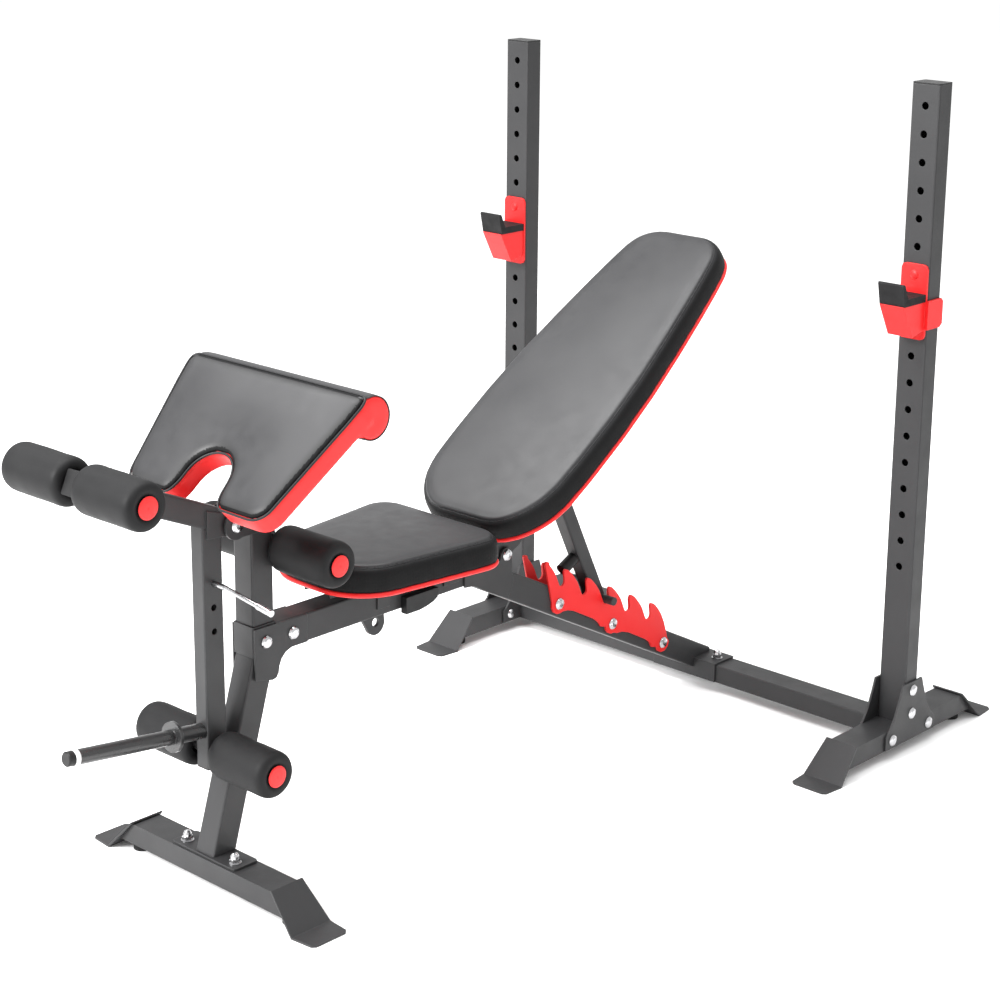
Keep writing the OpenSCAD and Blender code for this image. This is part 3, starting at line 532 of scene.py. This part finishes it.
def shade_edge(obj, loop, inner, outer, side, edge):
    """Writes how near each vertex is to the outline as the shaded_rim attribute, which paints shade on the
    vinyl: 1 at its edge and on its side wall, 0 on the face.

    Faces nearer the outline than edge take the side wall's material, a darker vinyl that paints shade there.
    """
    kd = KDTree(len(loop))
    for i, p in enumerate(loop):
        kd.insert((p.x, p.y, 0), i)
    kd.balance()
    # painted shade: shaded_rim darkens the vinyl towards the outline
    layer = obj.data.attributes.new("shaded_rim", "FLOAT", "POINT")
    values = []
    for v in obj.data.vertices:
        d = kd.find((v.co.x, v.co.y, 0))[2]
        f = min(1.0, max(0.0, (d - inner) / (outer - inner)))
        values.append(1.0 - f * f * (3 - 2 * f))
    layer.data.foreach_set("value", values)
    obj.data.materials.append(side)
    for p in obj.data.polygons:
        p.material_index = int(kd.find((p.center.x, p.center.y, 0))[2] < edge)


def swollen(obj, hold, pressure=4.0, frames=20):
    """Runs the cloth with pressure inside it; vertices lower than hold stay put."""
    group = obj.vertex_groups.new(name="held")
    group.add([v.index for v in obj.data.vertices if v.co.z < hold], 1.0, "REPLACE")
    cloth = obj.modifiers.new("cloth", "CLOTH")
    s = cloth.settings
    s.quality = 5
    s.mass = 0.35
    s.tension_stiffness = s.compression_stiffness = 16
    s.shear_stiffness = 7
    s.bending_stiffness = 1.0
    s.use_pressure = True
    s.uniform_pressure_force = pressure
    s.effector_weights.gravity = 0
    s.vertex_group_mass = "held"
    cloth.collision_settings.use_collision = False
    cloth.collision_settings.use_self_collision = False
    for f in range(1, frames + 1):
        scene.frame_set(f)
    apply_all(obj)
    scene.frame_set(1)


def inflate(obj, rise, spread, voxel=0.005, hold=0.006, smooth=4, even=150):
    """Remeshes a pad in its own frame and lets cloth pressure swell it.

    The lowest few millimetres stay put. The swelling keeps its own shape, but is scaled so that
    its highest rise is the one given and its spread is no wider than the one given.
    """
    voxelled(obj, voxel)
    first = np.array([v.co for v in obj.data.vertices])
    swollen(obj, hold)
    moves = even_out(obj.data, np.array([v.co for v in obj.data.vertices]) - first, even)
    up = max(1e-6, moves[:, 2].max())
    side = max(1e-6, np.hypot(moves[:, 0], moves[:, 1]).max())
    moves *= np.array((min(1.0, spread / side), min(1.0, spread / side), rise / up))
    obj.data.vertices.foreach_set("co", (first + moves).ravel())
    softened(obj, smooth)
    subdivided(obj)
    shade_smooth(obj)


def surface_path(obj, loop, inset, aim_z, slant):
    """A seam's path: rays that come in over the edge at a slant, aimed at the outline moved inwards."""
    tree = BVHTree.FromObject(obj, bpy.context.evaluated_depsgraph_get())
    clear = 0.08
    out = []
    for p, q in zip(loop, outward(loop)):
        dirn = Vector((q.x * math.cos(slant), q.y * math.cos(slant), math.sin(slant)))
        aim = Vector((*(p - q * inset), aim_z))
        place, normal, _, _ = tree.ray_cast(aim + dirn * clear, -dirn, 2 * clear)
        out.append((aim, dirn) if place is None else (place, normal))
    return out


def tube(bm, path, radius, sides, closed=True, normals=None):
    """Sweeps a round section along a path of points; a path that isn't closed gets flat ends."""
    n = len(path)
    rings = []
    for k in range(n):
        a = path[k - 1] if closed or k else path[k]
        b = path[(k + 1) % n] if closed or k < n - 1 else path[k]
        t = (b - a).normalized()
        up = normals[k] if normals else Vector((0, 0, 1))
        side = t.cross(up).normalized()
        up = side.cross(t).normalized()
        rings.append([bm.verts.new(path[k] + side * math.cos(2 * math.pi * j / sides) * radius
                                   + up * math.sin(2 * math.pi * j / sides) * radius)
                      for j in range(sides)])
    for k in range(n if closed else n - 1):
        a, b = rings[k], rings[(k + 1) % n]
        for j in range(sides):
            i = (j + 1) % sides
            bm.faces.new((a[j], a[i], b[i], b[j]))
    if not closed:
        bm.faces.new(rings[0])
        bm.faces.new(rings[-1])


def press(obj, path, depth, width):
    """Presses a groove into a mesh along a path of close points; a negative depth raises a ridge."""
    kd = KDTree(len(path))
    for i, (p, _) in enumerate(path):
        kd.insert(p, i)
    kd.balance()
    reach = width * 3
    normals = [v.normal.copy() for v in obj.data.vertices]
    for v, n in zip(obj.data.vertices, normals):
        _, _, d = kd.find(v.co)
        if d < reach:
            v.co -= n * depth * math.exp(-(d / width) ** 2)


def stitches(bm, path, pitch, length, radius, sides=6):
    """Short staples laid along a closed path of points with normals, with their ends bent in."""
    bend = [(-0.5, -0.5), (-0.32, 0.25), (0, 0.5), (0.32, 0.25), (0.5, -0.5)]
    n = len(path)
    run, following = 0.0, 0.0
    for k in range(n):
        a, b = path[k][0], path[(k + 1) % n][0]
        out = path[k][1]
        span = (b - a).length
        along = (b - a).normalized()
        while following < run + span:
            middle = a.lerp(b, (following - run) / span) + out * radius * 0.25
            line = [middle + along * length * e + out * radius * h for e, h in bend]
            tube(bm, line, radius, sides, closed=False, normals=[out] * len(line))
            following += pitch
        run += span


# ------------------------------------------------------------------ pads
def outline_loop(pad, step, rounds):
    """The pad's outline as even steps of about the given length."""
    count = int(sum((b - a).length for a, b in zip(pad.outline, pad.outline[1:])) / step)
    return resample(pad.outline, count, rounds)


def cushion_cover(name, loop, top, rise, shoulder, mats):
    """The vinyl over the foam: swollen face, a pressed groove and ridge round the shoulder."""
    t = top - COVER_LAP
    profile = [(0.006, -0.0024), (0.0004, -0.0024), (-0.0010, 0.003), (-0.0006, t - 0.020),
               (0.0012, t - 0.013), (0.0048, t - 0.0075), (0.0090, t - 0.0038), (0.0150, t - 0.0014),
               (0.0220, t - 0.0003), (0.030, t)]
    cover = new_object(name, ringed(loop, profile), mats["black_vinyl"])
    inflate(cover, rise, 0.002)
    valley = surface_path(cover, loop, shoulder, top - SEAM_DEPTH, math.radians(62))
    ridge = surface_path(cover, loop, shoulder + 0.006, top - SEAM_DEPTH, math.radians(66))
    press(cover, valley, 0.0017, 0.0034)
    press(cover, ridge, -0.0009, 0.0036)
    # painted shade: darker vinyl and shaded_rim on the shoulder and side wall
    shade_edge(cover, loop, 0.0015, shoulder, mats["shaded_side"], shoulder - 0.001)
    return cover


def cushion_welt(name, cover, loop, top, shoulder, pad, mats):
    """The thin rolled edge in the shoulder's groove."""
    seam = surface_path(cover, loop, shoulder, top - SEAM_DEPTH, math.radians(62))
    bm = bmesh.new()
    tube(bm, [p + q * 0.0001 for p, q in seam], WELT_R, 8, normals=[q for _, q in seam])
    return new_object(name, bm, mats["black_weave"], pad.matrix)


def cushion_band(name, loop, under, pad, mats):
    """The red vinyl wrapped round the board's edge."""
    edge = [(0.016, -under), (0.005, -under), (0.0012, -under + 0.0012), (-0.0006, -under + 0.0035),
            (-0.0010, -under / 2), (-0.0006, -0.0028), (0.0008, -0.0010), (0.0035, 0.0), (0.010, 0.0)]
    return new_object(name, ringed(loop, edge), mats["red_vinyl"], pad.matrix)


def cushion_backing(name, loop, under, pad, mats):
    """The thin cloth that closes the underside."""
    edge = [(0.020, -under - 0.0016), (0.0150, -under - 0.0014), (0.0140, -under - 0.0008),
            (0.0145, -under - 0.0002), (0.0165, -under)]
    return new_object(name, ringed(loop, edge), mats["backing"], pad.matrix)


def cushion_staples(name, loop, under, pad, mats):
    """Staples through the backing cloth, a little in from its edge."""
    down = Vector((0, 0, -1))
    row = [(Vector((*(p - q * 0.0185), -under - 0.0016)), down) for p, q in zip(loop, outward(loop))]
    bm = bmesh.new()
    stitches(bm, row, 0.028, 0.012, 0.0005)
    return new_object(name, bm, mats["zinc"], pad.matrix)


def upholstered(name, board, soft, toward, body, mats, rise, shoulder=0.012):
    """A cushion on its board: swollen vinyl cover, rolled edge, red edge band and backing cloth."""
    pad = Pad(board, toward)
    top = pad.extent(soft)[1]
    under = -pad.extent(board)[0]
    loop = outline_loop(pad, 0.006, 3)
    cover = cushion_cover(name + "_cover", loop, top, rise, shoulder, mats)
    welt = cushion_welt(name + "_welt", cover, loop, top, shoulder, pad, mats)
    cover.data.transform(pad.matrix)
    settle(cover, body, (soft,))
    settle(welt, body)
    band = cushion_band(name + "_band", loop, under, pad, mats)
    settle(band, body, (board,))
    backing = cushion_backing(name + "_backing", loop, under, pad, mats)
    settle(backing, body)
    staples = cushion_staples(name + "_staples", loop, under, pad, mats)
    settle(staples, body)


def curl_core(loop, centre, half, pad, mats):
    """The red sides: the board and the roll behind its upper edge, grown into one body."""
    t = CURL_CORE_T
    edge = [(0.012, -t), (0.003, -t), (0.0006, -t + 0.0025), (0.0, -t + 0.006), (0.0, -0.004),
            (0.002, 0.0), (0.010, 0.001)]
    bm = ringed(loop, edge)
    rx, r = half - 0.004, ROLL_R
    ends = [(-rx + 0.001, 0.004), (-rx, 0.020), (-rx + 0.0006, r - 0.005), (-rx + 0.0025, r - 0.0015),
            (-rx + 0.006, r)]
    ends += [(-x, q) for x, q in reversed(ends)]
    before = set(bm.verts)
    rings = lathe(bm, ends, 72, closed=False)
    bm.faces.new(rings[0])
    bm.faces.new(rings[-1])
    bmesh.ops.translate(bm, verts=[v for v in bm.verts if v not in before], vec=centre)
    core = new_object("curl_core", bm, mats["red_vinyl"])
    voxelled(core, 0.0032)
    softened(core, 5)
    shade_smooth(core)
    core.data.transform(pad.matrix)
    settle(core, "curl_pad", ("curl_board",))


def curl_cover(loop, top, pad, mats):
    """The black face, swollen a little."""
    t = top - 0.001
    face = [(0.006, -0.004), (0.0022, -0.002), (0.0012, 0.001), (0.0022, t - 0.0058),
            (0.0050, t - 0.0030), (0.0095, t - 0.0010), (0.0150, t - 0.0001), (0.020, t)]
    cover = new_object("curl_cover", ringed(loop, face), mats["black_vinyl"])
    inflate(cover, 0.007, 0.0006, voxel=0.004, hold=0.001, smooth=5)
    # painted shade: darker vinyl and shaded_rim along the face's rounded edge
    shade_edge(cover, loop, 0.004, 0.024, mats["shaded_side"], 0.0085)
    cover.data.transform(pad.matrix)
    settle(cover, "curl_pad", ("curl_cushion",))


def curl_welt(loop, pad, mats):
    """The black lip between the face and the red sides."""
    bm = bmesh.new()
    lip = [Vector((*(p - q * 0.0006), 0.0008)) for p, q in zip(loop, outward(loop))]
    tube(bm, lip, 0.0021, 10)
    welt = new_object("curl_welt", bm, mats["black_weave"], pad.matrix)
    settle(welt, "curl_pad")


def curl_wrap(top, length, half, centre, pad, mats):
    """Skin from the face over the upper edge and round the roll, thinning out to its sides."""
    line = [(length + 0.001, top - 0.0050), (length + 0.0055, top - 0.0085), (length + 0.0095, top - 0.0125)]
    line += [(centre.y + ROLL_R * math.sin(math.radians(a)), centre.z + ROLL_R * math.cos(math.radians(a)))
             for a in range(30, 262, 6)]
    w = half - 0.0065
    steps = 40
    across = [-w + 2 * w * j / steps for j in range(steps + 1)]
    bm = bmesh.new()
    rows = []
    for k, (y, z) in enumerate(line):
        a, b = Vector(line[max(k - 1, 0)]), Vector(line[min(k + 1, len(line) - 1)])
        d = (b - a).normalized()
        out = Vector((-d.y, d.x))
        outer = [(x, WRAP_T * (0.15 + 0.85 * (1 - (abs(x) / w) ** 24))) for x in across]
        inner = [(-x, -0.0012) for x in across]
        rows.append([bm.verts.new((x, y + out.x * h, z + out.y * h)) for x, h in outer + inner])
    for a, b in zip(rows, rows[1:]):
        for j in range(len(a)):
            i = (j + 1) % len(a)
            bm.faces.new((a[j], b[j], b[i], a[i]))
    bm.faces.new(rows[0])
    bm.faces.new(rows[-1])
    wrap = new_object("curl_wrap", bm, mats["black_vinyl"], pad.matrix)
    settle(wrap, "curl_pad")


def curl_pad(mats):
    """The arm-curl pad: red core with a roll behind, black face, lip and skin over the roll."""
    pad = Pad("curl_board", (0, -0.68, 0.74))
    top = pad.extent("curl_cushion")[1]
    loop = outline_loop(pad, 0.005, 2)
    length = max(p.y for p in pad.outline)
    half = max(p.x for p in pad.outline)
    centre = Vector((0, length - 0.006, -ROLL_DROP))
    curl_core(loop, centre, half, pad, mats)
    reach = 0.009
    tall = [Vector((p.x, p.y + reach * min(1.0, max(0.0, (p.y - length + 0.05) / 0.04)))) for p in loop]
    curl_cover(tall, top, pad, mats)
    curl_welt(tall, pad, mats)
    curl_wrap(top, length, half, centre, pad, mats)


# ------------------------------------------------------------------ rollers and horn
def uneven(bm, seed):
    """Gives a foam tube's skin slow, shallow lumps; its bore stays true."""
    still, depth, lumps, inwards = 0.02, 0.00055, 38, 0.0004
    for v in bm.verts:
        radial = Vector((0, v.co.y, v.co.z))
        if radial.length > still:
            share = (radial.length - still) / still
            lump = noise.noise(v.co * lumps + Vector((seed * 7.3, 0, 0))) * depth - inwards
            v.co += radial.normalized() * lump * share


def foam_roller(node, mats, seed):
    """A foam tube with round shoulders and dished ends, as large as its CAD node."""
    lo, hi = (Vector(v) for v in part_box(node))
    r, length = (hi.z - lo.z) / 2, hi.x - lo.x
    bore, cap, rows = 0.0122, 0.016, 16
    end = [(0.0040, bore), (0.0034, 0.0180), (0.0016, 0.0205), (0.0004, 0.0235), (0.0000, 0.0275),
           (0.0008, 0.0318), (0.0030, 0.0355), (0.0062, 0.0378), (0.0105, r - 0.0004), (cap, r)]
    body = [(cap + (length - 2 * cap) * k / rows, r) for k in range(1, rows)]
    bm = bmesh.new()
    lathe(bm, end + body + [(length - x, q) for x, q in reversed(end)], 72)
    uneven(bm, seed)
    middle = (lo + hi) / 2
    bmesh.ops.translate(bm, verts=bm.verts, vec=Vector((lo.x, middle.y, middle.z)))
    obj = new_object("foam_" + node, bm, mats["black_foam"])
    subdivided(obj)
    shade_smooth(obj)
    settle(obj, node, (node,))


def horn_ring(mats):
    """The pale ring just behind the horn's end cap."""
    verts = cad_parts["weight_horn"].data.vertices
    far = min(verts, key=lambda v: v.co.y).co
    rise = math.radians(7.4)
    axis = Vector((0, -math.cos(rise), math.sin(rise)))
    face = [v.co for v in verts if (v.co - far).dot(axis) > -0.0015]
    centre = sum(face, Vector()) / len(face)
    centre.x = 0
    inner, outer, back, front = 0.0120, 0.0134, -0.0090, -0.0002
    soft = 0.0008
    profile = [(back, inner), (back, outer - 0.0005), (back + soft, outer), (front - soft, outer),
               (front, outer - 0.0005), (front, inner)]
    bm = bmesh.new()
    lathe(bm, profile, 48)
    turn = axis.to_track_quat("X", "Z").to_matrix().to_4x4()
    turn.translation = centre
    obj = new_object("horn_ring", bm, mats["white_ring"], turn)
    settle(obj, "lever")


# ------------------------------------------------------------------ CAD nodes
SLOTS = {
    "red_steel": ("ladder_plates", "hook_bracket_left", "hook_bracket_right", "lever_discs", "knee_discs"),
    "zinc": ("rack_bolts", "base_nuts", "beam_bolts", "hinge_pins", "strut_pin", "lever_bolt", "lever_pin"),
    "black_rubber": ("floor_pads", "hook_liner_left", "hook_liner_right"),
    "black_plastic": ("upright_caps", "seat_guide", "lever_caps", "strut_grip"),
}


# nodes whose look differs from the rest of their slot
LOOKS = {"lever_discs": "red_plastic", "knee_discs": "red_plastic", "weight_horn": "horn_steel"}


def dress_frame(mats):
    """Gives each CAD node its material."""
    slots = {node: slot for slot, nodes in SLOTS.items() for node in nodes}
    for name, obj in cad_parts.items():
        look = LOOKS.get(name, slots.get(name, "frame_steel"))
        for s in obj.material_slots:
            s.material = mats[look]


def main():
    camera()
    studio()
    mats = build_materials()
    dress_frame(mats)
    upholstered("seat", "seat_board", "seat_cushion", (0, 0, 1), "seat", mats, 0.005)
    upholstered("back", "back_board", "back_cushion", (0, -0.57, 0.82), "backrest", mats, 0.007)
    curl_pad(mats)
    for i, node in enumerate(n for n in sorted(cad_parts) if n.startswith("roller_")):
        foam_roller(node, mats, i)
    horn_ring(mats)


main()
